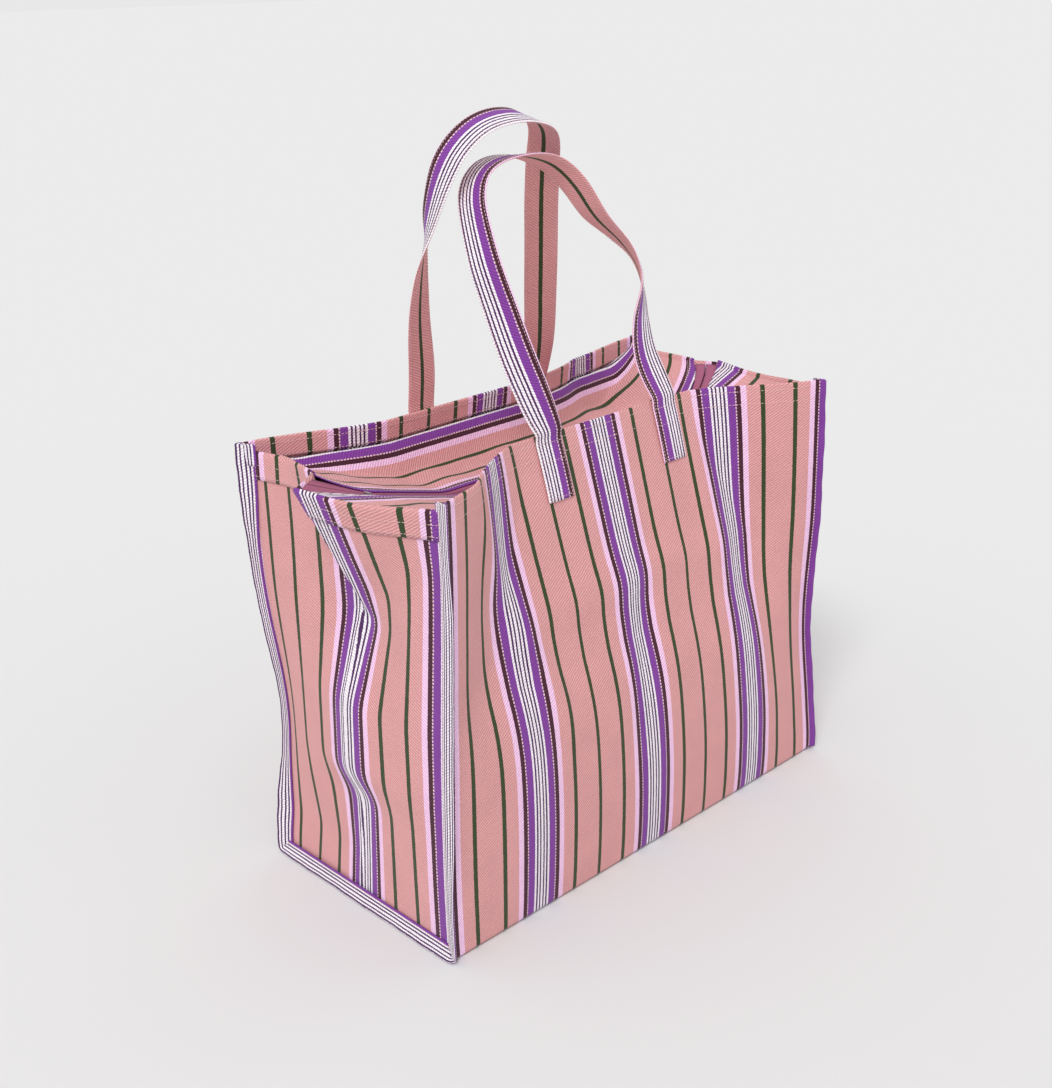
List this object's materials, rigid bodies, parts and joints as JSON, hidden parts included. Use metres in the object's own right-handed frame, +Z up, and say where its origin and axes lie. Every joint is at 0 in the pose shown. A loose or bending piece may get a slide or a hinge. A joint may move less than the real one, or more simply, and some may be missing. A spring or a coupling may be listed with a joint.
{
  "type": "canvas tote bag",
  "caption": "Large boxy tote bag of striped woven canvas with two strap handles, side gussets and a zipped top closure slung just below the mouth.",
  "frame": {"origin": "middle of the underside, on the surface the bag stands on", "axes": "+Z up, -Y towards the front, +X towards the bag's right end as seen from the front"},
  "size_m": [0.503, 0.269, 0.6624],
  "materials": {
    "body_canvas": "matt twill with woven stripes",
    "seam_canvas": "matt twill, folded seam allowance",
    "strap_webbing": "folded canvas strap, stitched at both edges",
    "zip_tape": "ribbed polyester tape",
    "zip_coil": "nylon coil",
    "zip_metal": "nickel-plated"
  },
  "bodies": {
    "bag": {"front_panel": "body_canvas", "back_panel": "body_canvas", "base_panel": "body_canvas", "left_gusset": "body_canvas", "right_gusset": "body_canvas", "front_hem": "body_canvas", "back_hem": "body_canvas", "front_closure_panel": "body_canvas", "back_closure_panel": "body_canvas", "front_left_corner_seam": "seam_canvas", "front_right_corner_seam": "seam_canvas", "back_left_corner_seam": "seam_canvas", "back_right_corner_seam": "seam_canvas", "left_base_seam": "seam_canvas", "right_base_seam": "seam_canvas", "front_zip_tape": "zip_tape", "back_zip_tape": "zip_tape", "front_zip_coil": "zip_coil", "back_zip_coil": "zip_coil", "zip_left_stop": "zip_metal", "zip_right_stop": "zip_metal", "front_left_strap_end": "strap_webbing", "front_right_strap_end": "strap_webbing", "back_left_strap_end": "strap_webbing", "back_right_strap_end": "strap_webbing"},
    "zip_slider": {"zip_slider": "zip_metal"},
    "zip_pull": {"zip_pull": "zip_metal"},
    "front_handle": {"front_handle": "strap_webbing"},
    "back_handle": {"back_handle": "strap_webbing"}
  },
  "joints": [
    {"name": "front_handle_swing", "type": "hinge", "parent": "bag", "child": "front_handle", "pos_m": [0, -0.062, 0.4005], "axis": [1, 0, 0], "range_deg": [0, 120]},
    {"name": "back_handle_swing", "type": "hinge", "parent": "bag", "child": "back_handle", "pos_m": [0, 0.0865, 0.4005], "axis": [-1, 0, 0], "range_deg": [0, 120]},
    {"name": "zip_slide", "type": "slide", "parent": "bag", "child": "zip_slider", "axis": [-1, 0, 0], "range_m": [0, 0.25]},
    {"name": "zip_pull_swing", "type": "hinge", "parent": "zip_slider", "child": "zip_pull", "pos_m": [0.16, 0, 0.35385], "axis": [0, 1, 0], "range_deg": [0, 150]}
  ]
}
